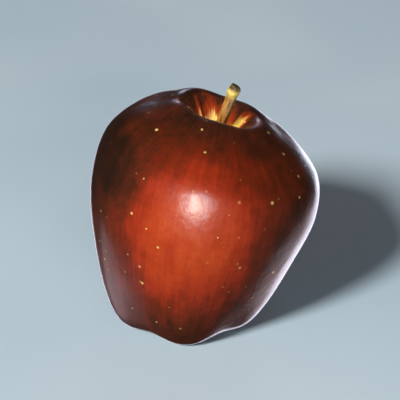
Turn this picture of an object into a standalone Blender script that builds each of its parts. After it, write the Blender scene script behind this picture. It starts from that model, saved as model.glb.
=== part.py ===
"""Red apple, as picked: one grown fruit, its woody stalk, and the dried calyx in its base.

Metres, +Z up. The fruit stands on the lobes of its crown at z = 0, with the origin under
the middle of its outline. Its front, with the middle lobe of the crown, is on the -Y side.
"""

import math

import bmesh
import bpy
from mathutils import Matrix, Vector

MM = 0.001

# The fruit before growth makes it ribbed and lopsided, as radius and height: from the
# basin under it, over the crown, the girth and the shoulder, into the stalk's cavity
FRUIT_HEIGHT = 75.0 * MM
CAVITY_FLOOR = 59.0 * MM
BASIN_DEPTH = 10.0 * MM
FRUIT_OUTLINE = (
    (0.0, BASIN_DEPTH),
    (5.0 * MM, 9.0 * MM),
    (10.5 * MM, 3.8 * MM),
    (16.5 * MM, 0.0),
    (22.4 * MM, 2.8 * MM),
    (28.3 * MM, 13.5 * MM),
    (33.7 * MM, 29.0 * MM),
    (37.0 * MM, 45.0 * MM),
    (35.2 * MM, 58.5 * MM),
    (29.0 * MM, 66.6 * MM),
    (21.0 * MM, 71.5 * MM),
    (13.5 * MM, FRUIT_HEIGHT),
    (8.7 * MM, 71.0 * MM),
    (5.0 * MM, 65.0 * MM),
    (2.3 * MM, 60.5 * MM),
    (0.0, CAVITY_FLOOR),
)
FRUIT_SIDES = 80
FRUIT_RINGS = 46

# Five ribs, one for each seed chamber: strong at the crown, slight at girth and shoulder
RIBS = 5
FRONT_RIB = math.radians(-92)
RIB_DRIFT = 0.30
DRIFT_SIDE = math.radians(-20)
GIRTH_RIB = 0.008
CROWN_RIB = 0.036
SHOULDER_RIB = 0.008
CROWN_FURROW = 1.5 * MM
SHOULDER_FURROW = 0.7 * MM
RIBLESS_RADIUS = 12.0 * MM
CROWN_TOP = 0.42
SHOULDER_FOOT = 0.62

# Lopsided growth: the top leans to +X and back, and its shoulder slopes down that way
LEAN = Vector((12.0, 4.4)) * MM
LEAN_BEND = 1.3
SHOULDER_SLOPE = Vector((0.325, 0.075))
SLOPE_BEND = 1.5

# A short notch where two of the shoulders meet, on the side that the top leans away from
NOTCH_SIDE = math.radians(176)
NOTCH_WIDTH = math.radians(15)
NOTCH_DEPTH = 1.8 * MM
NOTCH_FOOT = 0.86

# How much of the lobes is levelled off where the fruit stands, and how near that level a
# point has to lie to be moved onto it
FLAT_DEPTH = 0.35 * MM
FLAT_SNAP = 0.03 * MM

# The stalk: how deep its foot sits in the flesh, and how far its end is from the cavity's
# floor, along +X, +Y and +Z. Its middle is bowed to -X
STALK_ROOT = 5.0 * MM
STALK_REACH = Vector((7.7, 1.7, 23.7)) * MM
STALK_BOW = 0.6 * MM
STALK_RADIUS = 1.65 * MM
STALK_FOOT_RADIUS = 1.90 * MM
STALK_SWELL = (0.1, 0.6)
STALK_POINTS = 31

# The knob that it ends in, where it came off the twig, and the rounding of the knob's end
KNOB_RADIUS = 2.25 * MM
KNOB_END_RADIUS = 1.70 * MM
KNOB_START = 4.0 * MM
KNOB_FULL = 2.6 * MM
KNOB_ROUNDING = 1.3 * MM

# The calyx: a short cup in the basin's floor with five dried sepals round its mouth
CUP_RADIUS = 3.0 * MM
CUP_ROOT = 2.6 * MM
CUP_REACH = 1.5 * MM
CUP_SIDES = 20
HOLLOW_DEPTH = 1.0 * MM
HOLLOW_FLOOR_RADIUS = 0.9 * MM
HOLLOW_MOUTH_RADIUS = 1.4 * MM
SEPALS = 5
SEPAL_LENGTH = 5.2 * MM
SEPAL_WIDTH = 3.2 * MM
SEPAL_TIP_WIDTH = 0.5 * MM
SEPAL_TAPER = 1.6
SEPAL_THICKNESS = 0.7 * MM
SEPAL_STEPS = 8
SEPAL_ROWS = 4
SEPAL_SEAT = 2.1 * MM
SEPAL_ROOT = 0.3 * MM
SEPAL_CURL = math.radians(75)
SEPAL_CUPPING = 0.4 * MM

# Clear space between the fruit and what is rooted in it
GAP = 0.3 * MM

# How finely the turned outline's curve is followed before its points are spaced evenly
CURVE_STEPS = 24


def smooth(low, high, value):
    """Rises from 0 at low to 1 at high, level at both ends."""
    share = min(max((value - low) / (high - low), 0.0), 1.0)
    return share * share * (3 - 2 * share)


def smooth_line(points, count):
    """A Catmull-Rom line from the axis back to the axis, as count + 1 evenly spaced points."""
    knots = [Vector(point) for point in points]
    mirrored = [Vector((-knot.x, knot.y)) for knot in (knots[1], knots[-2])]
    knots = [mirrored[0], *knots, mirrored[1]]
    fine = []
    for before, start, end, after in zip(knots, knots[1:], knots[2:], knots[3:]):
        for step in range(CURVE_STEPS):
            t = step / CURVE_STEPS
            bend = 2 * before - 5 * start + 4 * end - after
            twist = 3 * start - before - 3 * end + after
            fine.append(start + ((end - before) * t + bend * t**2 + twist * t**3) / 2)
    fine.append(knots[-2])
    reach = [0.0]
    for start, end in zip(fine, fine[1:]):
        reach.append(reach[-1] + (end - start).length)
    line = [fine[0]]
    place = 0
    for index in range(1, count):
        wanted = reach[-1] * index / count
        while reach[place + 1] < wanted:
            place += 1
        share = (wanted - reach[place]) / (reach[place + 1] - reach[place])
        line.append(fine[place].lerp(fine[place + 1], share))
    line.append(fine[-1])
    return line


def rib_wave(angle):
    """1 on the middle of a rib and -1 in a furrow, the ribs a little unevenly spread."""
    return math.cos(RIBS * (angle - FRONT_RIB) + RIB_DRIFT * math.sin(angle - DRIFT_SIDE))


def grown(point):
    """Where growth carries a point of the turned fruit."""
    angle = math.atan2(point.y, point.x)
    radius = math.hypot(point.x, point.y)
    height = max(point.z, 0.0) / FRUIT_HEIGHT
    off_axis = smooth(0, RIBLESS_RADIUS, radius)
    wave = rib_wave(angle) * off_axis
    furrow = (1 - rib_wave(angle)) / 2 * off_axis
    crown = 1 - smooth(0, CROWN_TOP, height)
    shoulder = smooth(SHOULDER_FOOT, 1, height)
    radius *= 1 + wave * (GIRTH_RIB + CROWN_RIB * crown + SHOULDER_RIB * shoulder)
    side = Vector((radius * math.cos(angle), radius * math.sin(angle)))
    lift = furrow * (CROWN_FURROW * crown - SHOULDER_FURROW * shoulder)
    from_notch = math.remainder(angle - NOTCH_SIDE, math.tau) / NOTCH_WIDTH
    lift -= NOTCH_DEPTH * math.exp(-(from_notch**2)) * off_axis * smooth(NOTCH_FOOT, 1, height)
    drop = SHOULDER_SLOPE.dot(side) * height**SLOPE_BEND
    side += LEAN * height**LEAN_BEND
    return Vector((side.x, side.y, point.z + lift - drop))


def clear_scene():
    """Removes what the scene holds."""
    for thing in list(bpy.data.objects):
        bpy.data.objects.remove(thing)


def new_object(name, data, collection):
    """An object of that data in the collection."""
    thing = bpy.data.objects.new(name, data)
    collection.objects.link(thing)
    return thing


def new_collection(name):
    """A collection in the scene."""
    collection = bpy.data.collections.new(name)
    bpy.context.scene.collection.children.link(collection)
    return collection


def evaluated_mesh(thing):
    """The mesh that an object's modifiers or bevel make, welded, in place of the object."""
    bpy.context.view_layer.update()
    graph = bpy.context.evaluated_depsgraph_get()
    mesh = bpy.data.meshes.new_from_object(thing.evaluated_get(graph))
    mesh.transform(thing.matrix_world)
    bpy.data.objects.remove(thing)
    welded = bmesh.new()
    welded.from_mesh(mesh)
    bmesh.ops.remove_doubles(welded, verts=welded.verts, dist=0.00001)
    bmesh.ops.recalc_face_normals(welded, faces=welded.faces)
    welded.to_mesh(mesh)
    welded.free()
    return mesh


def finish(thing, material):
    """Gives an object its material and smooth shading."""
    thing.data.materials.clear()
    thing.data.materials.append(material)
    thing.data.shade_smooth()
    return thing


def make_helper(thing):
    """Keeps a cutter out of the model."""
    thing.hide_render = True
    thing.display_type = "WIRE"
    return thing


def boolean(thing, operation, **operand):
    """Adds a Boolean modifier."""
    modifier = thing.modifiers.new(operation.title(), "BOOLEAN")
    modifier.operation = operation
    modifier.solver = "EXACT"
    for key, value in operand.items():
        setattr(modifier, key, value)


def make_material(name, colour, roughness):
    """A Principled material of that colour and roughness, not metallic."""
    material = bpy.data.materials.new(name)
    material.use_nodes = True
    shader = material.node_tree.nodes["Principled BSDF"]
    shader.inputs["Base Color"].default_value = (*colour, 1.0)
    shader.inputs["Roughness"].default_value = roughness
    shader.inputs["Metallic"].default_value = 0.0
    return material


def press_flat(mesh, height):
    """Cuts the lobes of the crown off level at that height, which leaves a flat spot on each."""
    shape = bmesh.new()
    shape.from_mesh(mesh)
    everything = [*shape.verts, *shape.edges, *shape.faces]
    bmesh.ops.bisect_plane(
        shape,
        geom=everything,
        dist=FLAT_SNAP,
        plane_co=(0, 0, height),
        plane_no=(0, 0, 1),
        clear_inner=True,
    )
    for vertex in shape.verts:
        if abs(vertex.co.z - height) < FLAT_SNAP:
            vertex.co.z = height
    rims = [edge for edge in shape.edges if edge.is_boundary]
    bmesh.ops.holes_fill(shape, edges=rims)
    bmesh.ops.recalc_face_normals(shape, faces=shape.faces)
    shape.to_mesh(mesh)
    shape.free()


def make_fruit(collection):
    """The fruit: a turned form that growth ribs and bends, standing on its lobes."""
    line = smooth_line(FRUIT_OUTLINE, FRUIT_RINGS)[::-1]
    outline = bpy.data.meshes.new("outline")
    corners = [(point.x, 0, point.y) for point in line]
    outline.from_pydata(corners, [(i, i + 1) for i in range(len(line) - 1)], [])
    turned = new_object("turned", outline, collection)
    screw = turned.modifiers.new("Turned", "SCREW")
    screw.steps = screw.render_steps = FRUIT_SIDES
    screw.use_merge_vertices = True
    screw.merge_threshold = 0.00001
    mesh = evaluated_mesh(turned)
    for vertex in mesh.vertices:
        vertex.co = grown(vertex.co)
    press_flat(mesh, FLAT_DEPTH)
    return new_object("fruit", mesh, collection)


def stalk_tube(name, extra, collection):
    """A slightly bowed tube for the stalk, thicker by extra, and longer by it at the foot."""
    floor = grown(Vector((0, 0, CAVITY_FLOOR)))
    along = STALK_REACH.normalized()
    foot = floor - along * (STALK_ROOT + extra)
    end = floor + STALK_REACH
    across = along.cross(Vector((0, 1, 0))).normalized()
    length = (end - foot).length
    curve = bpy.data.curves.new(name, "CURVE")
    curve.dimensions = "3D"
    curve.bevel_depth = 1.0
    curve.bevel_resolution = 3
    curve.use_fill_caps = True
    line = curve.splines.new("POLY")
    line.points.add(STALK_POINTS - 1)
    for index, point in enumerate(line.points):
        share = index / (STALK_POINTS - 1)
        place = foot.lerp(end, share) + across * STALK_BOW * math.sin(math.pi * share)
        from_end = length * (1 - share)
        knob = (KNOB_RADIUS - STALK_RADIUS) * (1 - smooth(KNOB_FULL, KNOB_START, from_end))
        rounding = (KNOB_RADIUS - KNOB_END_RADIUS) * (1 - smooth(0, KNOB_ROUNDING, from_end))
        swell = (STALK_FOOT_RADIUS - STALK_RADIUS) * (1 - smooth(*STALK_SWELL, share))
        point.co = (*place, 1.0)
        point.radius = STALK_RADIUS + knob - rounding + swell + extra
    return new_object(name, evaluated_mesh(new_object(name, curve, collection)), collection)


def make_sepal(name, turn, floor, collection):
    """One dried sepal: a pointed blade that stands at the cup's rim and curls outwards."""
    shape = bmesh.new()
    bmesh.ops.create_grid(shape, x_segments=SEPAL_STEPS, y_segments=SEPAL_ROWS, size=0.5)
    mesh = bpy.data.meshes.new(name)
    shape.to_mesh(mesh)
    shape.free()
    bend = SEPAL_LENGTH / SEPAL_CURL
    for vertex in mesh.vertices:
        share = vertex.co.x + 0.5
        width = SEPAL_WIDTH + (SEPAL_TIP_WIDTH - SEPAL_WIDTH) * share**SEPAL_TAPER
        across = 2 * vertex.co.y
        angle = SEPAL_CURL * share
        out = SEPAL_SEAT + bend * (1 - math.cos(angle))
        out -= SEPAL_CUPPING * across**2 * (1 - share)
        vertex.co = (out, across * width / 2, -bend * math.sin(angle))
    mesh.transform(Matrix.Rotation(turn, 4, "Z"))
    mesh.transform(Matrix.Translation(floor))
    thing = new_object(name, mesh, collection)
    wall = thing.modifiers.new("Blade", "SOLIDIFY")
    wall.thickness = SEPAL_THICKNESS
    wall.offset = 0.0
    return new_object(name, evaluated_mesh(thing), collection)


def make_calyx(collection, helpers):
    """The calyx: a shallow cup and its five sepals, grown together as one dried body."""
    floor = grown(Vector((0, 0, BASIN_DEPTH)))
    bpy.ops.mesh.primitive_cylinder_add(
        vertices=CUP_SIDES,
        radius=CUP_RADIUS,
        depth=CUP_ROOT + CUP_REACH,
        location=floor + Vector((0, 0, (CUP_ROOT - CUP_REACH) / 2)),
    )
    cup = bpy.context.object
    cup.name = cup.data.name = "calyx"
    for owner in cup.users_collection:
        owner.objects.unlink(cup)
    collection.objects.link(cup)
    flare = HOLLOW_MOUTH_RADIUS - HOLLOW_FLOOR_RADIUS
    bpy.ops.mesh.primitive_cone_add(
        vertices=CUP_SIDES,
        radius1=HOLLOW_MOUTH_RADIUS + flare,
        radius2=HOLLOW_FLOOR_RADIUS,
        depth=HOLLOW_DEPTH * 2,
        location=floor - Vector((0, 0, CUP_REACH)),
    )
    hollow = make_helper(bpy.context.object)
    hollow.name = "calyx_hollow"
    boolean(cup, "DIFFERENCE", object=hollow)
    sepals = bpy.data.collections.new("sepals")
    helpers.children.link(sepals)
    for index in range(SEPALS):
        turn = FRONT_RIB + math.tau * index / SEPALS
        root = floor - Vector((0, 0, SEPAL_ROOT))
        make_helper(make_sepal(f"sepal_{index + 1}", turn, root, sepals))
    boolean(cup, "UNION", operand_type="COLLECTION", collection=sepals)
    return cup


def make_calyx_seat(collection):
    """The cutter for the calyx's seat in the basin's floor."""
    floor = grown(Vector((0, 0, BASIN_DEPTH)))
    depth = CUP_ROOT + GAP
    bpy.ops.mesh.primitive_cylinder_add(
        vertices=CUP_SIDES,
        radius=CUP_RADIUS + GAP,
        depth=depth * 2,
        location=floor,
    )
    seat = make_helper(bpy.context.object)
    seat.name = "calyx_seat"
    for owner in seat.users_collection:
        owner.objects.unlink(seat)
    collection.objects.link(seat)
    return seat


def main():
    """Builds the apple."""
    clear_scene()
    apple = new_collection("red_apple")
    helpers = new_collection("cutters")
    fruit = make_fruit(apple)
    stalk = stalk_tube("stalk", 0.0, apple)
    calyx = make_calyx(apple, helpers)
    socket = make_helper(stalk_tube("stalk_socket", GAP, helpers))
    seat = make_calyx_seat(helpers)
    boolean(fruit, "DIFFERENCE", object=socket)
    boolean(fruit, "DIFFERENCE", object=seat)

    skin = make_material("waxy_red_skin", (0.36, 0.035, 0.018), 0.28)
    wood = make_material("stalk_wood", (0.30, 0.17, 0.06), 0.65)
    husk = make_material("dried_calyx", (0.14, 0.085, 0.045), 0.85)
    finish(fruit, skin)
    finish(stalk, wood)
    finish(calyx, husk)

    corners = [vertex.co for vertex in fruit.data.vertices]
    middle = [(min(c[k] for c in corners) + max(c[k] for c in corners)) / 2 for k in (0, 1)]
    stance = new_object("stance", None, apple)
    for thing in list(bpy.data.objects):
        if thing is not stance:
            thing.parent = stance
    stance.location = (-middle[0], -middle[1], -FLAT_DEPTH)


main()
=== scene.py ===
"""The looks of the red apple: waxed skin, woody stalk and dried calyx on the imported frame.

Metres, +Z up. The fruit stands on the lobes of its crown at z = 0, front rib towards -Y.
"""

import logging
import math
from collections.abc import Callable
from dataclasses import dataclass
from enum import Enum
from typing import Any

import bpy
import numpy as np
from mathutils import Matrix, Vector, noise


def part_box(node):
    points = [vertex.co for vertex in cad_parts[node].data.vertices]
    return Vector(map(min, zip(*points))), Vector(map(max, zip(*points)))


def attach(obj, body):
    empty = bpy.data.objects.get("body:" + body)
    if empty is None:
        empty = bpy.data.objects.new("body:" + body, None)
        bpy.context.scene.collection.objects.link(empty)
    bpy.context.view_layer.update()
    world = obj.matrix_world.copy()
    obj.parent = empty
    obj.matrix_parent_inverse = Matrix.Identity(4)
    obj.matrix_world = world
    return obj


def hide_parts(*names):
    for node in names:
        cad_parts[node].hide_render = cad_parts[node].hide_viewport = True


MM = 0.001
BODY = "root"

Piece = bpy.types.Object
Tree = bpy.types.NodeTree
Socket = bpy.types.NodeSocket
Point = tuple[float, float, float]

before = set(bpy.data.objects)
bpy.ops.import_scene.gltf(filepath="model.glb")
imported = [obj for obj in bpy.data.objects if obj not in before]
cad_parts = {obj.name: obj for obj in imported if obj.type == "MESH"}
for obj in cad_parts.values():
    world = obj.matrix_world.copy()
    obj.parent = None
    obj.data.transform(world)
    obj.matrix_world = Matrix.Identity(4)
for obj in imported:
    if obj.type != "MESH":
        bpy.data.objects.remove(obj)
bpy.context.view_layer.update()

log = logging.getLogger("red_apple")


class Slot(Enum):
    """The record's material slots."""

    SKIN = "skin"
    STALK = "stalk_wood"
    CALYX = "dried_calyx"


class Glow(Enum):
    """What a studio lamp is for: light on matt surfaces, or a shine on glossy ones."""

    SHADES = "shades"
    SHINES = "shines"


class Kind(Enum):
    """The shader nodes that the finishes are made of."""

    ATTRIBUTE = "ShaderNodeAttribute"
    BUMP = "ShaderNodeBump"
    GRADIENT = "ShaderNodeTexGradient"
    MAPPING = "ShaderNodeMapping"
    MATH = "ShaderNodeMath"
    MIX = "ShaderNodeMix"
    NOISE = "ShaderNodeTexNoise"
    PLACE = "ShaderNodeTexCoord"
    RAMP = "ShaderNodeValToRGB"
    RANGE = "ShaderNodeMapRange"
    SPLIT = "ShaderNodeSeparateXYZ"
    SPLIT_COLOUR = "ShaderNodeSeparateColor"
    VECTOR_MATH = "ShaderNodeVectorMath"
    VORONOI = "ShaderNodeTexVoronoi"


def linear(sheet: str) -> tuple[float, float, float, float]:
    """Turns an sRGB hex value to a linear colour.

    Args:
        sheet: the colour as "#rrggbb".

    Returns:
        Red, green, blue and an alpha of 1, all linear.
    """
    parts = [int(sheet[start : start + 2], 16) / 255 for start in (1, 3, 5)]
    bent = [part / 12.92 if part <= 0.04045 else ((part + 0.055) / 1.055) ** 2.4 for part in parts]
    return (*bent, 1.0)


def add_node(
    tree: Tree,
    kind: Kind,
    inputs: dict[Any, Any] | None = None,
    stops: dict[float, str] | None = None,
    **settings: Any,
) -> bpy.types.Node:
    """Adds a shader node with its settings and links.

    Args:
        tree: the material's node tree.
        kind: which node.
        inputs: input name or number to the output socket or value that feeds it.
        stops: place to sRGB hex, for a node that holds a colour ramp.
        **settings: properties of the node itself.

    Returns:
        The node.
    """
    made = tree.nodes.new(kind.value)
    for name, value in settings.items():
        setattr(made, name, value)
    for key, source in (inputs or {}).items():
        if isinstance(source, bpy.types.NodeSocket):
            tree.links.new(source, made.inputs[key])
        else:
            made.inputs[key].default_value = source
    if stops:
        ramp = made.color_ramp
        places = sorted(stops)
        while len(ramp.elements) < len(places):
            ramp.elements.new(1.0)
        for element, place in zip(ramp.elements, places):
            element.position = place
            element.color = linear(stops[place])
    return made


def start_material(
    name: str, uniform: dict[str, Any]
) -> tuple[bpy.types.Material, Tree, bpy.types.Node]:
    """Starts a material with a Principled shader on its output.

    Args:
        name: what the finish is called.
        uniform: shader input name to the number or colour that is the same all over.

    Returns:
        The material, its node tree and the shader.
    """
    material = bpy.data.materials.new(name)
    material.use_nodes = True
    shader = material.node_tree.nodes["Principled BSDF"]
    for socket, value in uniform.items():
        shader.inputs[socket].default_value = value
    return material, material.node_tree, shader


def smooth(low: float, high: float, value: np.ndarray) -> np.ndarray:
    """Rises from 0 at low to 1 at high, level at both ends.

    Args:
        low: where the rise starts.
        high: where it ends.
        value: where it is read.

    Returns:
        The rise at each value.
    """
    share = np.clip((value - low) / (high - low), 0.0, 1.0)
    return share * share * (3 - 2 * share)


def hump(span: tuple[float, float, float, float], value: np.ndarray) -> np.ndarray:
    """Rises from 0 to 1 between a span's first two places, and falls between its last two."""
    return smooth(*span[:2], value) * (1 - smooth(*span[2:], value))


def points_of(piece: Piece) -> np.ndarray:
    """The piece's vertices as rows of x, y and z.

    Args:
        piece: a mesh object.

    Returns:
        An array of its vertex places.
    """
    flat = np.empty(len(piece.data.vertices) * 3)
    piece.data.vertices.foreach_get("co", flat)
    return flat.reshape(-1, 3)


def set_points(piece: Piece, points: np.ndarray) -> None:
    """Moves the piece's vertices to those places, a row for each."""
    piece.data.vertices.foreach_set("co", points.ravel())
    piece.data.update()


def select_only(piece: Piece) -> None:
    """Makes the piece the only one selected, and the active one.

    Args:
        piece: the object to work on.
    """
    bpy.ops.object.select_all(action="DESELECT")
    piece.select_set(True)
    bpy.context.view_layer.objects.active = piece


def add_piece(name: str, primitive: Callable[..., Any], **settings: Any) -> Piece:
    """Adds a primitive as a piece of its own, with its place in its mesh.

    Args:
        name: the piece's name.
        primitive: the operator that adds it.
        **settings: its size and place.

    Returns:
        The piece.
    """
    bpy.ops.object.select_all(action="DESELECT")
    primitive(**settings)
    piece = bpy.context.object
    piece.name = piece.data.name = name
    select_only(piece)
    bpy.ops.object.transform_apply(location=True, rotation=True, scale=True)
    return piece


def cut_across(rod: Piece, cuts: int) -> None:
    """Cuts an upright unit rod into even lengths.

    Args:
        rod: a cylinder of height 1 on z = 0.
        cuts: how many cuts it gets.
    """
    bpy.ops.object.mode_set(mode="EDIT")
    bpy.ops.mesh.select_mode(type="EDGE")
    bpy.ops.mesh.select_all(action="DESELECT")
    bpy.ops.object.mode_set(mode="OBJECT")
    for edge in rod.data.edges:
        start, end = (rod.data.vertices[index].co.z for index in edge.vertices)
        edge.select = abs(start - end) > 0.5
    bpy.ops.object.mode_set(mode="EDIT")
    bpy.ops.mesh.subdivide(number_cuts=cuts)
    bpy.ops.object.mode_set(mode="OBJECT")


def face_outwards(piece: Piece) -> None:
    """Points the piece's faces outwards.

    Args:
        piece: a closed mesh.
    """
    select_only(piece)
    bpy.ops.object.mode_set(mode="EDIT")
    bpy.ops.mesh.select_all(action="SELECT")
    bpy.ops.mesh.normals_make_consistent(inside=False)
    bpy.ops.object.mode_set(mode="OBJECT")


def apply_modifier(piece: Piece, kind: str, **settings: Any) -> None:
    """Adds a modifier with its settings and applies it.

    Args:
        piece: the object to work on.
        kind: the modifier's type name.
        **settings: its properties.
    """
    modifier = piece.modifiers.new(kind.title(), kind)
    for name, value in settings.items():
        setattr(modifier, name, value)
    select_only(piece)
    bpy.ops.object.modifier_apply(modifier=modifier.name)


def keep_grain(piece: Piece, angle: np.ndarray, way: np.ndarray) -> None:
    """Keeps each vertex's bearing and way along the piece for its material to read.

    Args:
        piece: a mesh object.
        angle: each vertex's bearing, kept as cosine and sine so that it has no seam.
        way: how far along it lies, 0 to 1.
    """
    rows = np.stack((np.cos(angle), np.sin(angle), way), axis=1)
    layer = piece.data.attributes.new("grain", "FLOAT_VECTOR", "POINT")
    layer.data.foreach_set("vector", rows.ravel())


def hand_over(piece: Piece, material: bpy.types.Material) -> None:
    """Smooths and dresses a finished piece, and lets it ride on the apple's one body.

    Args:
        piece: the piece.
        material: its finish.
    """
    select_only(piece)
    bpy.ops.object.shade_smooth()
    piece.data.materials.clear()
    piece.data.materials.append(material)
    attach(piece, BODY)
    log.info("%s: %d faces", piece.name, len(piece.data.polygons))


@dataclass(frozen=True)
class Fade:
    """How one value follows another: from start at low to end at high, and level past them."""

    low: float
    high: float
    start: float = 0.0
    end: float = 1.0

    def of(self, value: Socket) -> dict[str, Any]:
        """The inputs of a node that maps a range, for this fade of that value."""
        ends = {"From Min": self.low, "From Max": self.high, "To Min": self.start, "To Max": self.end}
        return {"Value": value, **ends}


@dataclass(frozen=True)
class Growth:
    """How growth carries a point of the turned fruit: ribs, furrows, lean and a sloped shoulder."""

    height: float = 75.0 * MM
    ribs: int = 5
    front_rib: float = math.radians(-92)
    drift: float = 0.30
    drift_side: float = math.radians(-20)
    girth_rib: float = 0.008
    crown_rib: float = 0.036
    shoulder_rib: float = 0.008
    crown_furrow: float = 1.5 * MM
    shoulder_furrow: float = 0.7 * MM
    ribless_radius: float = 12.0 * MM
    crown_top: float = 0.42
    shoulder_foot: float = 0.62
    lean: tuple[float, float] = (12.0 * MM, 4.4 * MM)
    lean_bend: float = 1.3
    shoulder_slope: tuple[float, float] = (0.325, 0.075)
    slope_bend: float = 1.5
    notch_side: float = math.radians(176)
    notch_width: float = math.radians(15)
    notch_depth: float = 1.8 * MM
    notch_foot: float = 0.86

    def carry(self, points: np.ndarray) -> np.ndarray:
        """Moves points of the turned form to where growth carries them.

        Args:
            points: rows of x, y and z.

        Returns:
            The moved rows.
        """
        x, y, z = points.T
        angle = np.arctan2(y, x)
        radius = np.hypot(x, y)
        share = np.maximum(z, 0.0) / self.height
        off_axis = smooth(0.0, self.ribless_radius, radius)
        drift = self.drift * np.sin(angle - self.drift_side)
        ribs = np.cos(self.ribs * (angle - self.front_rib) + drift)
        crown = 1 - smooth(0.0, self.crown_top, share)
        shoulder = smooth(self.shoulder_foot, 1.0, share)
        swell = self.girth_rib + self.crown_rib * crown + self.shoulder_rib * shoulder
        radius = radius * (1 + ribs * off_axis * swell)
        furrow = (1 - ribs) / 2 * off_axis
        lift = furrow * (self.crown_furrow * crown - self.shoulder_furrow * shoulder)
        from_notch = np.remainder(angle - self.notch_side + math.pi, math.tau) - math.pi
        notch = np.exp(-((from_notch / self.notch_width) ** 2)) * off_axis
        lift = lift - self.notch_depth * notch * smooth(self.notch_foot, 1.0, share)
        x, y = radius * np.cos(angle), radius * np.sin(angle)
        slope = (self.shoulder_slope[0] * x + self.shoulder_slope[1] * y) * share**self.slope_bend
        leaning = share**self.lean_bend
        moved = (x + self.lean[0] * leaning, y + self.lean[1] * leaning, z + lift - slope)
        return np.stack(moved, axis=1)


@dataclass(frozen=True)
class WaxedSkin:
    """Ripe skin under its natural wax: clear gloss over streaked red pigment.

    The wax gives a small bright highlight inside a wide soft one, and a pale edge where the
    skin turns away. The pigment lies in fine streaks from stalk to calyx. It is orange-red on
    a paler front and nearly black on the flanks and on the left shoulder: partly the pigment's
    own blush, partly painted light on the front and painted shade on the flanks and shoulder.
    The lower flanks carry a pale mauve, partly the wax's own dusting and partly a painted
    reflection of the pale floor. Bare ground colour shows at both ends. The way along the
    skin is 0 at the stalk and 1 at the calyx.
    """

    black: str = "#281710"
    flush: str = "#4a2010"
    crimson: str = "#6d2410"
    red: str = "#932c10"
    orange: str = "#a93b12"
    light: str = "#ba511f"
    cream: str = "#e8cd7c"
    green: str = "#b3a548"
    russet: str = "#7d5a2c"
    lenticel: str = "#dcc172"
    # Pale mauve for the lower flanks: partly the wax's own dusting, partly painted reflection of the
    # pale floor.
    bloom_and_reflection: str = "#8d7480"
    sheen: str = "#ccd2ea"
    streaks: tuple[float, float] = (11.0, 7.0)
    threads: tuple[float, float] = (38.0, 9.0)
    rays: tuple[float, float] = (3.4, 7.0)
    cloud_size: float = 26.0 * MM
    mottle_size: float = 6.0 * MM
    fleck_size: float = 1.1 * MM
    # What streaks, threads, clouds, mottle and flecks add is 0.79 on average, and the fade of
    # painted light on the front and painted shade on the flanks is set lower by as much.
    swings: tuple[float, ...] = (0.32, 0.22, 0.46, 0.40, 0.18)
    painted_light_fade: Fade = Fade(0.0, 0.75, -0.57, -0.05)
    # Paler front, near-black flanks: partly the pigment's blush, partly painted light on the front and
    # painted shade on the flanks.
    painted_light_middle: Point = (-5.0 * MM, -36.0 * MM, 46.0 * MM)
    painted_light_reach: Point = (31.5 * MM, 46.0 * MM, 41.0 * MM)
    painted_light_tilt: float = math.radians(21)
    # A darker left shoulder: painted shade.
    painted_shade_middle: Point = (-30.0 * MM, -10.0 * MM, 66.0 * MM)
    painted_shade_reach: Point = (17.0 * MM, 30.0 * MM, 22.0 * MM)
    painted_shade_share: float = -0.32
    back_middle: Point = (4.0 * MM, 36.0 * MM, 42.0 * MM)
    back_reach: Point = (38.0 * MM, 34.0 * MM, 44.0 * MM)
    back_share: float = 0.30
    shoulder: Fade = Fade(0.13, 0.30, -0.18, 0.0)
    # Where the pale mauve of wax dusting and painted floor reflection lies: low and off the middle.
    bloom_and_reflection_sides: Fade = Fade(16.0 * MM, 34.0 * MM)
    bloom_and_reflection_heights: Fade = Fade(12.0 * MM, 44.0 * MM, 0.80, 0.0)
    ray_reach: float = 0.18
    cavity: Fade = Fade(0.170, 0.195, 1.0, 0.0)
    basin: Fade = Fade(0.99, 1.06, 0.0, 0.85)
    orange_walls: Fade = Fade(0.17, 0.235, 0.8, 0.0)
    cork: Fade = Fade(0.09, 0.12, 0.75, 0.0)
    lenticel_spacing: float = 4.6 * MM
    lenticel_radius: float = 0.52 * MM
    lenticel_edge: tuple[float, float] = (0.75, 1.3)
    lenticel_sizes: Fade = Fade(0.0, 1.0, 0.7, 1.4)
    lenticel_strengths: Fade = Fade(0.2, 0.7, 0.15, 1.0)
    lenticel_unevenness: float = 0.08
    lenticel_height: float = 0.25
    peel_size: float = 2.4 * MM
    peel_depth: float = 0.16 * MM
    gloss: Fade = Fade(0.3, 0.7, 0.34, 0.46)

    def material(self) -> bpy.types.Material:
        """Builds the skin.

        Returns:
            The material.
        """
        uniform = {
            "IOR": 1.42,
            "Specular IOR Level": 0.15,
            "Coat Weight": 0.60,
            "Coat Roughness": 0.17,
            "Coat IOR": 1.38,
            "Sheen Weight": 0.03,
            "Sheen Roughness": 0.22,
            "Sheen Tint": linear(self.sheen),
        }
        material, tree, shader = start_material("waxed_apple_skin", uniform)
        place = add_node(tree, Kind.PLACE).outputs["Object"]
        grain = add_node(tree, Kind.ATTRIBUTE, attribute_name="grain").outputs["Vector"]
        way = add_node(tree, Kind.SPLIT, {0: grain}).outputs["Z"]
        spreads = (self.streaks, self.threads, self.rays)
        streaks, threads, rays = (self.streaked(tree, grain, spread) for spread in spreads)
        clouds = self.clouded(tree, place, self.cloud_size, 3.0)
        mottle = self.clouded(tree, place, self.mottle_size, 5.0)
        flecks = self.clouded(tree, place, self.fleck_size, 2.0)

        reds = self.reds(tree, place, way, (streaks, threads, clouds, mottle, flecks))
        with_bloom_and_reflection = self.with_bloom_and_reflection(tree, place, clouds, reds)
        skin = self.bare_ends(tree, way, rays, mottle, with_bloom_and_reflection)
        dots = self.dots(tree, place, flecks)
        dotted = {0: dots, 6: skin, 7: linear(self.lenticel)}
        colour = add_node(tree, Kind.MIX, dotted, data_type="RGBA").outputs[2]

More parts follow.
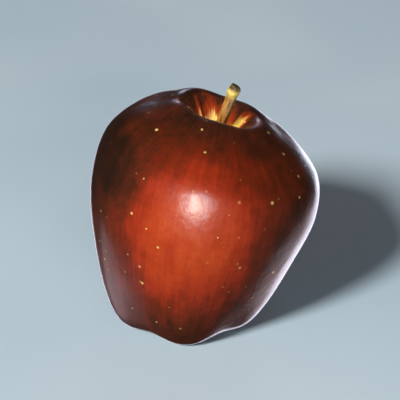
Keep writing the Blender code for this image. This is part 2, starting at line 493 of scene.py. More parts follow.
        peel = self.clouded(tree, place, self.peel_size, 4.0)
        raised = {0: dots, 1: self.lenticel_height, 2: peel}
        relief = add_node(tree, Kind.MATH, raised, operation="MULTIPLY_ADD").outputs[0]
        pores = {"Height": relief, "Strength": 0.7, "Distance": self.peel_depth}
        bump = add_node(tree, Kind.BUMP, pores).outputs[0]
        gloss = add_node(tree, Kind.RANGE, self.gloss.of(mottle)).outputs[0]
        tree.links.new(colour, shader.inputs["Base Color"])
        tree.links.new(gloss, shader.inputs["Roughness"])
        tree.links.new(bump, shader.inputs["Normal"])
        tree.links.new(bump, shader.inputs["Coat Normal"])
        return material

    def clouded(self, tree: Tree, place: Socket, size: float, detail: float) -> Socket:
        """Adds an even cloudy pattern.

        Args:
            tree: the material's node tree.
            place: where the pattern is read.
            size: how wide its patches are, in metres.
            detail: how many finer layers it has.

        Returns:
            The pattern, about 0.3 to 0.7.
        """
        look = {"Vector": place, "Scale": 1 / size, "Detail": detail, "Roughness": 0.6}
        return add_node(tree, Kind.NOISE, look).outputs["Fac"]

    def streaked(self, tree: Tree, grain: Socket, spread: tuple[float, float]) -> Socket:
        """Adds streaks that run from stalk to calyx.

        Args:
            tree: the material's node tree.
            grain: bearing, as cosine and sine, and way from stalk to calyx.
            spread: how many there are to a radian, and to the whole way.

        Returns:
            The streaks, about 0.3 to 0.7.
        """
        steps = {0: grain, 1: (spread[0], spread[0], spread[1])}
        stretched = add_node(tree, Kind.VECTOR_MATH, steps, operation="MULTIPLY").outputs[0]
        look = {"Scale": 1.0, "Detail": 4.0, "Roughness": 0.55, "Distortion": 0.5}
        return add_node(tree, Kind.NOISE, {"Vector": stretched, **look}).outputs["Fac"]

    def patch(self, tree: Tree, place: Socket, middle: Point, reach: Point, tilt: float) -> Socket:
        """Marks an egg-shaped patch of the skin.

        Args:
            tree: the material's node tree.
            place: object coordinates.
            middle: the middle of the patch.
            reach: how far it goes each way.
            tilt: how far its upper end leans to +X.

        Returns:
            1 at the middle, falling evenly to 0 at the edge.
        """
        egg = {"Vector": place, "Location": middle, "Rotation": (0.0, tilt, 0.0), "Scale": reach}
        centred = add_node(tree, Kind.MAPPING, egg, vector_type="TEXTURE").outputs[0]
        fall = add_node(tree, Kind.GRADIENT, {"Vector": centred}, gradient_type="SPHERICAL")
        return fall.outputs["Fac"]

    def reds(self, tree: Tree, place: Socket, way: Socket, patterns: tuple[Socket, ...]) -> Socket:
        """Mixes how much red pigment shows, with painted light and shade over it, and colours it.

        Args:
            tree: the material's node tree.
            place: object coordinates.
            way: way from stalk to calyx.
            patterns: streaks, threads, clouds, mottle and flecks.

        Returns:
            The colour.
        """
        # Painted light and shade: a paler front patch over darker flanks, partly the pigment's own
        # blush.
        painted_light = self.patch(tree, place, self.painted_light_middle, self.painted_light_reach, self.painted_light_tilt)
        # Painted shade: a darker patch on the left shoulder.
        dark = self.patch(tree, place, self.painted_shade_middle, self.painted_shade_reach, 0.0)
        back = self.patch(tree, place, self.back_middle, self.back_reach, 0.0)
        amount, top = (
            add_node(tree, Kind.RANGE, inputs, interpolation_type="SMOOTHSTEP").outputs[0]
            for inputs in (self.painted_light_fade.of(painted_light), self.shoulder.of(way))
        )
        shares = zip(patterns, self.swings)
        for part, share in (*shares, (top, 1.0), (dark, self.painted_shade_share), (back, self.back_share)):
            added = {0: part, 1: share, 2: amount}
            amount = add_node(tree, Kind.MATH, added, operation="MULTIPLY_ADD").outputs[0]
        stops = {
            0.0: self.black,
            0.2: self.flush,
            0.4: self.crimson,
            0.58: self.red,
            0.78: self.orange,
            1.0: self.light,
        }
        return add_node(tree, Kind.RAMP, {"Fac": amount}, stops).outputs["Color"]

    def with_bloom_and_reflection(self, tree: Tree, place: Socket, clouds: Socket, reds: Socket) -> Socket:
        """Lays a pale mauve on the lower flanks: wax dusting and painted reflection of the floor.

        Args:
            tree: the material's node tree.
            place: object coordinates.
            clouds: the pattern that makes the mauve patchy.
            reds: the colour under the mauve.

        Returns:
            The colour.
        """
        axes = add_node(tree, Kind.SPLIT, {0: place}).outputs
        off_middle = add_node(tree, Kind.MATH, {0: axes["X"]}, operation="ABSOLUTE").outputs[0]
        bloom_and_reflection_share = clouds
        for inputs in (self.bloom_and_reflection_heights.of(axes["Z"]), self.bloom_and_reflection_sides.of(off_middle)):
            fade = add_node(tree, Kind.RANGE, inputs, interpolation_type="SMOOTHSTEP").outputs[0]
            bloom_and_reflection_share = add_node(tree, Kind.MATH, {0: bloom_and_reflection_share, 1: fade}, operation="MULTIPLY").outputs[0]
        # Pale mauve on the lower flanks: partly wax dusting, partly painted reflection of the floor.
        bloom_and_reflection_mix = {0: bloom_and_reflection_share, 6: reds, 7: linear(self.bloom_and_reflection)}
        return add_node(tree, Kind.MIX, bloom_and_reflection_mix, data_type="RGBA").outputs[2]

    def bare_ends(self, tree: Tree, way: Socket, rays: Socket, mottle: Socket, reds: Socket) -> Socket:
        """Lets the ground colour show in rays round the stalk and the calyx.

        Args:
            tree: the material's node tree.
            way: way from stalk to calyx.
            rays: broad streaks, which the ground colour follows.
            mottle: the pattern that shades the ground colour.
            reds: the colour that the pigment gives.

        Returns:
            The colour.
        """
        rayed = {0: rays, 1: self.ray_reach, 2: way}
        reach = add_node(tree, Kind.MATH, rayed, operation="MULTIPLY_ADD").outputs[0]
        cavity, basin, walls = (
            add_node(tree, Kind.RANGE, fade.of(reach), interpolation_type="SMOOTHSTEP").outputs[0]
            for fade in (self.cavity, self.basin, self.orange_walls)
        )
        bare = add_node(tree, Kind.MATH, {0: cavity, 1: basin}, operation="MAXIMUM").outputs[0]
        cork = add_node(tree, Kind.RANGE, self.cork.of(reach)).outputs[0]
        grounds = {0.40: self.green, 0.55: self.cream}
        pale = add_node(tree, Kind.RAMP, {"Fac": mottle}, grounds).outputs["Color"]
        russets = {0: cork, 6: pale, 7: linear(self.russet)}
        corked = add_node(tree, Kind.MIX, russets, data_type="RGBA").outputs[2]
        oranges = {0: walls, 6: reds, 7: linear(self.orange)}
        ripe = add_node(tree, Kind.MIX, oranges, data_type="RGBA").outputs[2]
        return add_node(tree, Kind.MIX, {0: bare, 6: ripe, 7: corked}, data_type="RGBA").outputs[2]

    def dots(self, tree: Tree, place: Socket, flecks: Socket) -> Socket:
        """Scatters the lenticels, large and small, some pale and some faint.

        Args:
            tree: the material's node tree.
            place: object coordinates.
            flecks: the fine pattern that makes them uneven.

        Returns:
            How far each place belongs to a lenticel, 0 to 1.
        """
        scatter = {"Vector": place, "Scale": 1 / self.lenticel_spacing, "Randomness": 1.0}
        cells = add_node(tree, Kind.VORONOI, scatter, feature="F1").outputs
        draw = add_node(tree, Kind.SPLIT_COLOUR, {"Color": cells["Color"]}).outputs
        strength = add_node(tree, Kind.RANGE, self.lenticel_strengths.of(draw["Red"])).outputs[0]
        size = add_node(tree, Kind.RANGE, self.lenticel_sizes.of(draw["Green"])).outputs[0]
        uneven = {0: flecks, 1: self.lenticel_unevenness, 2: cells["Distance"]}
        ragged = add_node(tree, Kind.MATH, uneven, operation="MULTIPLY_ADD").outputs[0]
        distance = add_node(tree, Kind.MATH, {0: ragged, 1: size}, operation="DIVIDE").outputs[0]
        radius = self.lenticel_radius / self.lenticel_spacing
        edge = Fade(self.lenticel_edge[0] * radius, self.lenticel_edge[1] * radius, end=0.0)
        inputs = {**edge.of(distance), "To Min": strength}
        return add_node(tree, Kind.RANGE, inputs, interpolation_type="SMOOTHSTEP").outputs[0]


@dataclass(frozen=True)
class StalkBark:
    """Dry young bark, ridged along its length: matt ochre brown, greener towards the cut end."""

    shade: str = "#43260f"
    bark: str = "#b58338"
    green: str = "#d3c266"
    scar: str = "#3a2e18"
    girth: float = 1.45 * MM
    length: float = 28.0 * MM
    fibre_size: float = 0.35 * MM
    fibre_stretch: float = 0.12
    fibre_depth: float = 0.12 * MM
    knob: Fade = Fade(0.84, 0.89)
    scar_edge: Fade = Fade(0.975, 0.995, 0.0, 0.95)
    scar_raggedness: float = 0.06

    def material(self) -> bpy.types.Material:
        """Builds the bark.

        Returns:
            The material.
        """
        uniform = {"Roughness": 0.62, "Specular IOR Level": 0.35}
        material, tree, shader = start_material("dry_stalk_bark", uniform)
        grain = add_node(tree, Kind.ATTRIBUTE, attribute_name="grain").outputs["Vector"]
        along = add_node(tree, Kind.SPLIT, {0: grain}).outputs["Z"]
        sizes = {0: grain, 1: (self.girth, self.girth, self.length * self.fibre_stretch)}
        stretched = add_node(tree, Kind.VECTOR_MATH, sizes, operation="MULTIPLY").outputs[0]
        look = {"Vector": stretched, "Scale": 1 / self.fibre_size, "Detail": 4.0, "Roughness": 0.6}
        fibres = add_node(tree, Kind.NOISE, look).outputs["Fac"]
        browns, greens = (
            add_node(tree, Kind.RAMP, {"Fac": fibres}, stops).outputs["Color"]
            for stops in ({0.32: self.shade, 0.58: self.bark}, {0.28: self.bark, 0.55: self.green})
        )
        knob = self.knob.of(along)
        upper = add_node(tree, Kind.RANGE, knob, interpolation_type="SMOOTHSTEP").outputs[0]
        rough = {0: fibres, 1: self.scar_raggedness, 2: along}
        ragged = add_node(tree, Kind.MATH, rough, operation="MULTIPLY_ADD").outputs[0]
        end = add_node(tree, Kind.RANGE, self.scar_edge.of(ragged)).outputs[0]
        colour = browns
        for share, layer in ((upper, greens), (end, linear(self.scar))):
            layers = {0: share, 6: colour, 7: layer}
            colour = add_node(tree, Kind.MIX, layers, data_type="RGBA").outputs[2]
        relief = {"Height": fibres, "Strength": 0.6, "Distance": self.fibre_depth}
        tree.links.new(colour, shader.inputs["Base Color"])
        tree.links.new(add_node(tree, Kind.BUMP, relief).outputs[0], shader.inputs["Normal"])
        return material


@dataclass(frozen=True)
class DriedSepal:
    """Sepals and stamens dried on the fruit: brittle, matt and grey-brown in fine spots."""

    dark: str = "#2e2118"
    brown: str = "#6b5037"
    grey: str = "#8d8068"
    spot_size: float = 0.8 * MM
    crease_depth: float = 0.15 * MM

    def material(self) -> bpy.types.Material:
        """Builds the dried tissue.

        Returns:
            The material.
        """
        uniform = {"Roughness": 0.9, "Sheen Weight": 0.25, "Sheen Roughness": 0.6}
        material, tree, shader = start_material("dried_calyx_tissue", uniform)
        place = add_node(tree, Kind.PLACE).outputs["Object"]
        look = {"Vector": place, "Scale": 1 / self.spot_size, "Detail": 5.0, "Roughness": 0.65}
        spots = add_node(tree, Kind.NOISE, look).outputs["Fac"]
        stops = {0.3: self.dark, 0.5: self.brown, 0.72: self.grey}
        colour = add_node(tree, Kind.RAMP, {"Fac": spots}, stops).outputs["Color"]
        relief = {"Height": spots, "Strength": 0.7, "Distance": self.crease_depth}
        tree.links.new(colour, shader.inputs["Base Color"])
        tree.links.new(add_node(tree, Kind.BUMP, relief).outputs[0], shader.inputs["Normal"])
        return material


@dataclass(frozen=True)
class PaleFloor:
    """A matt studio floor, painted a pale blue-white in very faint clouds."""

    colour: str = "#c8e2f8"
    stain: str = "#bad7f1"
    clouds_per_metre: float = 6.0

    def material(self) -> bpy.types.Material:
        """Builds the floor's paint.

        Returns:
            The material.
        """
        uniform = {"Roughness": 0.8, "Specular IOR Level": 0.05}
        material, tree, shader = start_material("pale_matt_paint", uniform)
        place = add_node(tree, Kind.PLACE).outputs["Object"]
        look = {"Vector": place, "Scale": self.clouds_per_metre, "Detail": 2.0}
        clouds = add_node(tree, Kind.NOISE, look).outputs["Fac"]
        stops = {0.35: self.stain, 0.65: self.colour}
        colour = add_node(tree, Kind.RAMP, {"Fac": clouds}, stops).outputs["Color"]
        tree.links.new(colour, shader.inputs["Base Color"])
        return material


@dataclass
class Fruit:
    """The fruit: an outline spun round its axis, then ribbed, leaned and pressed by growth."""

    growth: Growth
    skin: WaxedSkin
    cavity_floor: float = 59.0 * MM
    basin_depth: float = 10.0 * MM
    flat_depth: float = 0.35 * MM
    flat_blend: float = 0.10 * MM
    rings: int = 176
    sides: int = 320
    curve_steps: int = 60
    weld: float = 0.01 * MM
    swell_size: float = 14.0 * MM
    swell_depth: float = 0.16 * MM
    dimple_size: float = 4.5 * MM
    dimple_depth: float = 0.035 * MM
    cavity_folds: int = 9
    cavity_fold_depth: float = 0.22 * MM
    cavity_fold_drift: float = 1.2
    cavity_fold_span: tuple[float, float, float, float] = (0.0, 0.05, 0.06, 0.13)
    basin_folds: int = 10
    basin_fold_depth: float = 0.45 * MM
    basin_fold_drift: float = 0.8
    basin_fold_span: tuple[float, float, float, float] = (0.86, 0.92, 0.95, 1.0)

    def knots(self) -> list[Vector]:
        """The turned outline, from the cavity's floor over shoulder and girth to the basin.

        Returns:
            Its shaping points, as radius and height.
        """
        outline = (
            (0.0, self.cavity_floor),
            (2.3 * MM, 60.5 * MM),
            (5.0 * MM, 65.0 * MM),
            (8.7 * MM, 71.0 * MM),
            (13.5 * MM, self.growth.height),
            (21.0 * MM, 71.5 * MM),
            (29.0 * MM, 66.6 * MM),
            (35.2 * MM, 58.5 * MM),
            (37.0 * MM, 45.0 * MM),
            (33.7 * MM, 29.0 * MM),
            (28.3 * MM, 13.5 * MM),
            (22.4 * MM, 2.8 * MM),
            (16.5 * MM, 0.0),
            (10.5 * MM, 3.8 * MM),
            (5.0 * MM, 9.0 * MM),
            (0.0, self.basin_depth),
        )
        return [Vector(point) for point in outline]

    def line(self) -> np.ndarray:
        """Draws a smooth line through the outline's points, evenly stepped.

        Returns:
            Rows of radius and height.
        """
        knots = self.knots()
        mirrored = [Vector((-knot.x, knot.y)) for knot in (knots[1], knots[-2])]
        knots = [mirrored[0], *knots, mirrored[1]]
        fine = []
        for before, start, end, after in zip(knots, knots[1:], knots[2:], knots[3:]):
            bend = 2 * before - 5 * start + 4 * end - after
            twist = 3 * start - before - 3 * end + after
            for step in range(self.curve_steps):
                t = step / self.curve_steps
                fine.append(start + ((end - before) * t + bend * t**2 + twist * t**3) / 2)
        fine.append(knots[-2])
        places = np.array(fine)
        reach = np.r_[0.0, np.cumsum(np.hypot(*np.diff(places, axis=0).T))]
        wanted = np.linspace(0.0, reach[-1], self.rings + 1)
        return np.stack([np.interp(wanted, reach, places[:, k]) for k in (0, 1)], axis=1)

    def spin(self, line: np.ndarray) -> Piece:
        """Extrudes the outline point by point and spins it round the fruit's axis.

        Args:
            line: rows of radius and height.

        Returns:
            The turned form.
        """
        foot = (line[0][0], 0.0, line[0][1])
        plane = bpy.ops.mesh.primitive_plane_add
        piece = add_piece("apple_fruit", plane, size=MM, location=foot)
        bpy.ops.object.mode_set(mode="EDIT")
        bpy.ops.mesh.select_all(action="SELECT")
        bpy.ops.mesh.merge(type="CENTER")
        for step in np.diff(line, axis=0):
            move = {"value": (step[0], 0.0, step[1])}
            bpy.ops.mesh.extrude_region_move(TRANSFORM_OT_translate=move)
        bpy.ops.mesh.select_all(action="SELECT")
        bpy.ops.mesh.spin(
            steps=self.sides, angle=math.tau, center=(0.0, 0.0, 0.0), axis=(0.0, 0.0, 1.0)
        )
        bpy.ops.mesh.select_all(action="SELECT")
        bpy.ops.mesh.remove_doubles(threshold=self.weld)
        bpy.ops.object.mode_set(mode="OBJECT")
        face_outwards(piece)
        return piece

    def mark_grain(self, piece: Piece, line: np.ndarray) -> np.ndarray:
        """Keeps each point's bearing and its way from stalk to calyx, for the streaks.

        Args:
            piece: the turned form.
            line: the outline that it was spun from.

        Returns:
            Each vertex's way from stalk (0) to calyx (1).
        """
        x, y, height = points_of(piece).T
        radius = np.hypot(x, y)
        off = (radius[:, None] - line[None, :, 0]) ** 2 + (height[:, None] - line[None, :, 1]) ** 2
        way = off.argmin(axis=1) / (len(line) - 1)
        keep_grain(piece, np.arctan2(y, x), way)
        return way

    def unevenness(self, points: np.ndarray, way: np.ndarray) -> np.ndarray:
        """How far each point of the turned form stands out from an even skin.

        Args:
            points: the turned form's vertices.
            way: their way from stalk to calyx.

        Returns:
            A distance for each vertex, along its normal.
        """
        angle = np.arctan2(points[:, 1], points[:, 0])
        seeds = [Vector(point) for point in points]
        swells = np.array([noise.noise(seed / self.swell_size) for seed in seeds])
        dimples = np.array([noise.noise(seed / self.dimple_size) for seed in seeds])
        cavity = np.cos(self.cavity_folds * angle + self.cavity_fold_drift * np.sin(2 * angle))
        basin = np.cos(self.basin_folds * angle + self.basin_fold_drift * np.sin(angle))
        return (
            swells * self.swell_depth
            + dimples * self.dimple_depth
            + cavity * hump(self.cavity_fold_span, way) * self.cavity_fold_depth
            + basin * hump(self.basin_fold_span, way) * self.basin_fold_depth
        )

    def build(self) -> np.ndarray:
        """Models the fruit in the place of its CAD solid, and dresses it.

        Returns:
            The move that took the fruit's own axis there.
        """
        line = self.line()
        piece = self.spin(line)
        way = self.mark_grain(piece, line)
        turned = points_of(piece)
        normals = np.array([vertex.normal for vertex in piece.data.vertices])
        uneven = turned + normals * self.unevenness(turned, way)[:, None]
        grown = self.growth.carry(uneven)
        above = grown[:, 2] - self.flat_depth
        grown[:, 2] = (above + np.hypot(above, self.flat_blend)) / 2
        low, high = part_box("fruit")
        middle = (grown.min(axis=0) + grown.max(axis=0)) / 2
        move = np.array(((low.x + high.x) / 2 - middle[0], (low.y + high.y) / 2 - middle[1], 0.0))
        move[2] = low.z - grown[:, 2].min()
        set_points(piece, grown + move)
        hand_over(piece, self.skin.material())
        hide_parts("fruit")
        return move - np.array((0.0, 0.0, self.flat_depth))


@dataclass
class Stalk:
    """The woody stalk: bowed and ridged, thicker at its foot, with a warty knob for an end."""

    bark: StalkBark
    root: Vector
    reach: Vector
    sunk: float = 5.0 * MM
    bow: float = 0.6 * MM
    radius: float = 1.65 * MM
    foot_radius: float = 1.90 * MM
    swell: tuple[float, float] = (0.1, 0.6)
    knob_radius: float = 2.0 * MM
    knob_end_radius: float = 1.55 * MM
    knob_start: float = 4.0 * MM
    knob_full: float = 2.6 * MM
    knob_rounding: float = 1.3 * MM
    wart_size: float = 1.1 * MM
    wart_depth: float = 0.22 * MM
    shaft_warts: float = 0.25
    sides: int = 48
    cuts: int = 120
    end_rings: tuple[float, ...] = (0.18, 0.25, 0.30)
    ridges: int = 7
    ridge_depth: float = 0.07 * MM
    ridge_wander: float = 2.5
    ridge_twist: float = 3.0
    knot_place: float = 0.66
    knot_side: float = 2.2
    knot_width: float = 1.2 * MM
    knot_size: float = 0.20 * MM
    cut_start: float = 0.97
    scar_slant: float = 0.35 * MM
    scar_depth: float = 0.45 * MM
    scar_rim: tuple[float, float] = (0.1, 0.8)

    def build(self) -> None:
        """Models the stalk along its bowed line, dresses it and swaps it for its CAD solid."""
        rod = {"vertices": self.sides, "radius": 1.0, "depth": 1.0, "location": (0.0, 0.0, 0.5)}
        piece = add_piece("apple_stalk", bpy.ops.mesh.primitive_cylinder_add, **rod)
        cut_across(piece, self.cuts)
        bpy.ops.object.mode_set(mode="EDIT")
        bpy.ops.mesh.select_mode(type="FACE")
        bpy.ops.mesh.select_all(action="DESELECT")
        bpy.ops.object.mode_set(mode="OBJECT")
        for face in piece.data.polygons:
            face.select = len(face.vertices) > 4
        bpy.ops.object.mode_set(mode="EDIT")
        for width in self.end_rings:
            bpy.ops.mesh.inset(thickness=width, use_even_offset=True)
        bpy.ops.mesh.poke()
        bpy.ops.object.mode_set(mode="OBJECT")
        self.shape(piece)
        face_outwards(piece)
        hand_over(piece, self.bark.material())
        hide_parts("stalk")

    def shape(self, piece: Piece) -> None:
        """Moves the upright unit rod's points to the stalk's line, taper and ridges.

        Args:
            piece: the unit rod.
        """
        x, y, share = points_of(piece).T
        angle = np.arctan2(y, x)
        inside = np.hypot(x, y)
        keep_grain(piece, angle, share)
        heading = self.reach.normalized()
        foot = self.root - heading * self.sunk
        line = self.root + self.reach - foot
        across = heading.cross(Vector((0.0, 1.0, 0.0))).normalized()
        up = heading.cross(across)
        from_end = line.length * (1 - share)
        on_knob = 1 - smooth(self.knob_full, self.knob_start, from_end)
        knob = (self.knob_radius - self.radius) * on_knob
        rounding = self.knob_radius - self.knob_end_radius
        rounding = rounding * (1 - smooth(0.0, self.knob_rounding, from_end))
        swell = (self.foot_radius - self.radius) * (1 - smooth(*self.swell, share))
        wander = self.ridge_wander * np.sin(self.ridge_twist * share + angle)
        ridge = np.cos(self.ridges * angle + wander) * self.ridge_depth
        knot = np.exp(-(((share - self.knot_place) * line.length / self.knot_width) ** 2))
        knot = knot * self.knot_size * (1 + np.cos(angle - self.knot_side)) / 2
        spots = np.stack((np.cos(angle), np.sin(angle), -from_end / self.radius), axis=1)
        spots = spots * self.radius / self.wart_size
        warts = np.array([noise.noise(Vector(spot)) for spot in spots]) * self.wart_depth
        warts = warts * (self.shaft_warts + (1 - self.shaft_warts) * on_knob)
        radius = self.radius + knob - rounding + swell + ridge * (1 - on_knob) + knot
        radius = (radius + warts) * inside
        bow = self.bow * np.sin(math.pi * share)
        slant = self.scar_slant * np.cos(angle) * inside * smooth(self.cut_start, 1.0, share)
        scar = -self.scar_depth * (1 - smooth(*self.scar_rim, inside)) * (share > 0.999)
        placed = (
            np.array(foot)
            + np.outer(share, line)
            + np.outer(bow + radius * np.cos(angle), across)
            + np.outer(radius * np.sin(angle), up)
            + np.outer(slant + scar, heading)
        )
        set_points(piece, placed)


@dataclass
class Calyx:
    """The dried calyx: a shallow cup, five curled sepals and a tuft of stamens."""

    tissue: DriedSepal
    floor: Vector
    cup_radius: float = 3.0 * MM
    cup_root: float = 2.6 * MM
    cup_reach: float = 1.5 * MM
    cup_wall: float = 1.1 * MM
    cup_hollow: float = 1.2 * MM
    cup_floor_ring: float = 0.7 * MM
    cup_rounding: float = 0.35 * MM
    cup_sides: int = 40
    sepals: int = 5
    first_turn: float = math.radians(-92)
    sepal_length: float = 5.2 * MM
    sepal_width: float = 3.2 * MM
    sepal_tip: float = 0.4 * MM
    sepal_taper: float = 1.6
    sepal_wall: float = 0.45 * MM
    sepal_seat: float = 2.1 * MM
    sepal_root: float = 0.3 * MM
    sepal_curl: float = math.radians(75)
    sepal_cupping: float = 0.4 * MM
    sepal_ripple: float = 0.22 * MM
    sepal_sway: float = 0.5 * MM
    sepal_grid: tuple[int, int] = (18, 10)
    stamens: int = 14
    stamen_turn: float = 2.4
    stamen_length: float = 3.4 * MM
    stamen_radius: float = 0.13 * MM
    stamen_root: float = 1.4 * MM
    stamen_splay: float = 1.1 * MM
    stamen_sides: int = 8
    stamen_cuts: int = 8
    tuft_radius: float = 1.1 * MM

    def build_cup(self) -> Piece:
        """Models the cup, its mouth downwards.

        Returns:
            The piece.
        """
        piece = add_piece(
            "calyx_cup",
            bpy.ops.mesh.primitive_cylinder_add,
            vertices=self.cup_sides,
            radius=self.cup_radius,
            depth=self.cup_root + self.cup_reach,
            location=self.floor + Vector((0, 0, (self.cup_root - self.cup_reach) / 2)),
        )
        for face in piece.data.polygons:
            face.select = face.normal.z < -0.9
        bpy.ops.object.mode_set(mode="EDIT")
        bpy.ops.mesh.select_mode(type="FACE")
        bpy.ops.mesh.inset(thickness=self.cup_wall)
        inwards = {"value": (0.0, 0.0, self.cup_hollow)}
        bpy.ops.mesh.extrude_region_move(TRANSFORM_OT_translate=inwards)
        bpy.ops.mesh.inset(thickness=self.cup_floor_ring)
        bpy.ops.object.mode_set(mode="OBJECT")
        apply_modifier(piece, "BEVEL", width=self.cup_rounding, segments=3, limit_method="ANGLE")
        return piece

    def build_sepal(self, index: int) -> Piece:
        """Models one sepal: a pointed blade that stands at the rim and curls outwards.

        Args:
            index: which of them, from 0.

        Returns:
            The piece.
        """
        along, across = self.sepal_grid
        grid = {"x_subdivisions": along, "y_subdivisions": across, "size": 1.0}
        piece = add_piece(f"sepal_{index + 1}", bpy.ops.mesh.primitive_grid_add, **grid)
        points = points_of(piece)
        share, across = points[:, 0] + 0.5, 2 * points[:, 1]
        width = self.sepal_width
        width = width + (self.sepal_tip - width) * share**self.sepal_taper
        bend = self.sepal_length / self.sepal_curl
        angle = self.sepal_curl * share
        out = self.sepal_seat + bend * (1 - np.cos(angle))
        out = out - self.sepal_cupping * across**2 * (1 - share)
        ripple = self.sepal_ripple * np.sin(7 * share + 2.4 * across + index) * share
        side = across * width / 2 + self.sepal_sway * share**2 * math.sin(2.3 * index)
        placed = np.stack((out + ripple, side, -bend * np.sin(angle) + ripple), axis=1)
        turn = Matrix.Rotation(self.first_turn + math.tau * index / self.sepals, 3, "Z")
        seat = np.array(self.floor) - np.array((0.0, 0.0, self.sepal_root))
        set_points(piece, placed @ np.array(turn).T + seat)
        apply_modifier(piece, "SOLIDIFY", thickness=self.sepal_wall, offset=0.0)
        apply_modifier(piece, "SUBSURF", levels=1, render_levels=1)
        return piece

    def bend_stamen(self, rod: np.ndarray, index: int) -> np.ndarray:
        """Hangs a stamen in the cup: it splays outwards and ends in a thicker anther.

        Args:
            rod: the vertices of an upright rod, 1 m high.
            index: which stamen, from 0.

        Returns:
            Where they go, from the floor of the basin.
        """
        x, y, share = rod.T
        turn = self.stamen_turn * index
        start = self.tuft_radius * math.sqrt((index + 0.5) / self.stamens)
        length = self.stamen_length * (0.75 + 0.25 * math.sin(5.0 * index))
        out = start + share**2 * self.stamen_splay * (1 + 0.5 * math.cos(3.0 * index))
        anther = 1 + 0.9 * smooth(0.86, 0.93, share) - 1.2 * smooth(0.96, 1.0, share)
        height = self.stamen_root - self.cup_reach - share * length
        sides = (out * math.cos(turn) + x * anther, out * math.sin(turn) + y * anther)
        return np.stack((*sides, height), axis=1)

    def build_stamens(self) -> Piece:
        """Models the tuft of dried stamens in the cup.

        Returns:
            The tuft, as one piece.
        """
        size = {"vertices": self.stamen_sides, "radius": self.stamen_radius, "depth": 1.0}
        rod = {**size, "location": (0.0, 0.0, 0.5)}
        hairs = []
        for index in range(self.stamens):
            hair = add_piece(f"stamen_{index + 1}", bpy.ops.mesh.primitive_cylinder_add, **rod)
            cut_across(hair, self.stamen_cuts)
            set_points(hair, self.bend_stamen(points_of(hair), index) + np.array(self.floor))
            hairs.append(hair)
        bpy.ops.object.select_all(action="DESELECT")
        for hair in hairs:
            hair.select_set(True)
        bpy.context.view_layer.objects.active = hairs[0]
        bpy.ops.object.join()
        piece = bpy.context.object
        piece.name = piece.data.name = "stamens"
        face_outwards(piece)
        return piece

    def build(self) -> None:
        """Models every piece of the calyx, dresses them and swaps them for their CAD solid."""
        blades = [self.build_sepal(index) for index in range(self.sepals)]
        pieces = [self.build_cup(), *blades, self.build_stamens()]
        tissue = self.tissue.material()
        for piece in pieces:
            hand_over(piece, tissue)
        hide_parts("calyx")


@dataclass(frozen=True)
class Lamp:
    """A softbox that faces the apple, at a bearing from the camera's and a height, in degrees."""

    name: str
    azimuth: float
    elevation: float
    distance: float
    width: float
    height: float
    power: float
    colour: str
    glow: Glow
    spread: float = 180.0

    def place(self, target: Vector) -> None:
        """Hangs the softbox.

        Args:
            target: what it faces.
        """
        side, rise = math.radians(self.azimuth), math.radians(self.elevation)
        level = math.cos(rise)
        away = Vector((math.sin(side) * level, -math.cos(side) * level, math.sin(rise)))
        data = bpy.data.lights.new(self.name, "AREA")
        data.shape = "ELLIPSE"
        data.size, data.size_y = self.width, self.height
        data.energy = self.power
        data.spread = math.radians(self.spread)
        data.color = linear(self.colour)[:3]
        lamp = bpy.data.objects.new(self.name, data)
        bpy.context.scene.collection.objects.link(lamp)
        lamp.location = target + away * self.distance
        lamp.rotation_euler = away.to_track_quat("Z", "Y").to_euler()
        lamp.visible_camera = False
        lamp.visible_glossy = self.glow is not Glow.SHADES
        lamp.visible_diffuse = self.glow is not Glow.SHINES


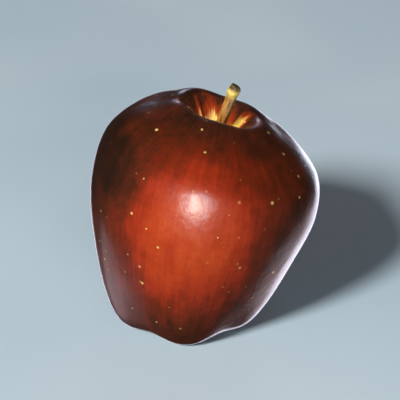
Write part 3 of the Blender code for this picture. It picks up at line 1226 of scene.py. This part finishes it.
@dataclass
class Studio:
    """A pale floor, soft lamps and the camera at the photograph's viewing angle.

    The cards stand lower than the apple, where pale surroundings would throw light back into
    its wax. The floor neither mirrors in the wax nor keeps their light away.
    """

    floor: PaleFloor
    floor_radius: float = 4.0
    target: Vector = Vector((0.0, 0.0, 0.04))
    aim: Vector = Vector((-0.0016, 0.0, 0.0424))
    camera_elevation: float = math.radians(27.5)
    camera_distance: float = 0.602
    lens: float = 164.0
    surroundings: str = "#6f625c"
    surroundings_strength: float = 0.18
    lamps: tuple[Lamp, ...] = (
        Lamp("key_softbox", -35, 36, 2.4, 0.46, 0.46, 69.0, "#fff4e6", Glow.SHADES),
        Lamp("front_softbox", 12, 12, 0.9, 0.50, 0.30, 1.6, "#fff6ee", Glow.SHADES),
        Lamp("cavity_snoot", 110, 80, 0.40, 0.02, 0.02, 0.003, "#fff0e4", Glow.SHADES, 4),
        Lamp("back_wash", 165, 50, 1.3, 0.90, 0.90, 1.0, "#fff2e6", Glow.SHADES),
        Lamp("back_fill", 172, 8, 1.2, 0.60, 0.30, 1.6, "#fff2e6", Glow.SHADES),
        Lamp("glint_window", -12, 13, 0.8, 0.22, 0.37, 6.2, "#f0fff0", Glow.SHINES),
        Lamp("glint_frame", -9, 12, 0.85, 0.60, 0.58, 11.5, "#ccf0ff", Glow.SHINES),
        Lamp("back_softbox", -178, 20, 1.2, 0.26, 0.50, 1.2, "#dbe0ff", Glow.SHINES),
        Lamp("right_card", 124, -40, 0.8, 0.55, 0.55, 0.70, "#ffeaf2", Glow.SHINES),
        Lamp("rim_card", 150, -13, 0.8, 0.34, 0.26, 0.58, "#e2eaff", Glow.SHINES),
        Lamp("left_card", -118, -42, 0.8, 0.40, 0.40, 0.35, "#ffe2ea", Glow.SHINES),
        Lamp("back_card", 164, -33, 0.8, 0.95, 0.56, 4.1, "#eae6fa", Glow.SHINES),
    )

    def lay_floor(self) -> None:
        """Lays the floor at z = 0."""
        circle = {"vertices": 96, "radius": self.floor_radius, "fill_type": "NGON"}
        floor = add_piece("studio_floor", bpy.ops.mesh.primitive_circle_add, **circle)
        floor.data.materials.append(self.floor.material())
        floor.visible_glossy = floor.visible_shadow = False

    def set_world(self) -> None:
        """Fills the room with dim, even light."""
        world = bpy.data.worlds.new("dim_room")
        world.use_nodes = True
        background = world.node_tree.nodes["Background"]
        background.inputs["Color"].default_value = linear(self.surroundings)
        background.inputs["Strength"].default_value = self.surroundings_strength
        bpy.context.scene.world = world

    def place_camera(self) -> None:
        """Stands the camera in front of the apple, looking down on it."""
        rise = self.camera_elevation
        away = Vector((0.0, -math.cos(rise), math.sin(rise)))
        data = bpy.data.cameras.new("photo_camera")
        data.lens = self.lens
        data.clip_start = 0.01
        camera = bpy.data.objects.new("photo_camera", data)
        bpy.context.scene.collection.objects.link(camera)
        camera.location = self.aim + away * self.camera_distance
        camera.rotation_euler = away.to_track_quat("Z", "Y").to_euler()
        bpy.context.scene.camera = camera

    def build(self) -> None:
        """Sets up the whole studio."""
        self.lay_floor()
        self.set_world()
        for lamp in self.lamps:
            lamp.place(self.target)
        self.place_camera()
        bpy.context.scene.view_settings.view_transform = "Standard"
        log.info("studio: %d lamps", len(self.lamps))


def main() -> None:
    """Builds the apple's pieces in order, then the studio."""
    logging.basicConfig(level=logging.INFO, format="%(name)s: %(message)s")
    growth = Growth()
    fruit = Fruit(growth, WaxedSkin())
    move = fruit.build()

    on_axis = np.array(((0.0, 0.0, fruit.cavity_floor), (0.0, 0.0, fruit.basin_depth)))
    cavity, basin = (Vector(place) for place in growth.carry(on_axis) + move)
    Stalk(StalkBark(), root=cavity, reach=Vector((7.7, 1.7, 23.7)) * MM).build()
    Calyx(DriedSepal(), floor=basin).build()
    Studio(PaleFloor()).build()


if __name__ == "__main__":
    main()
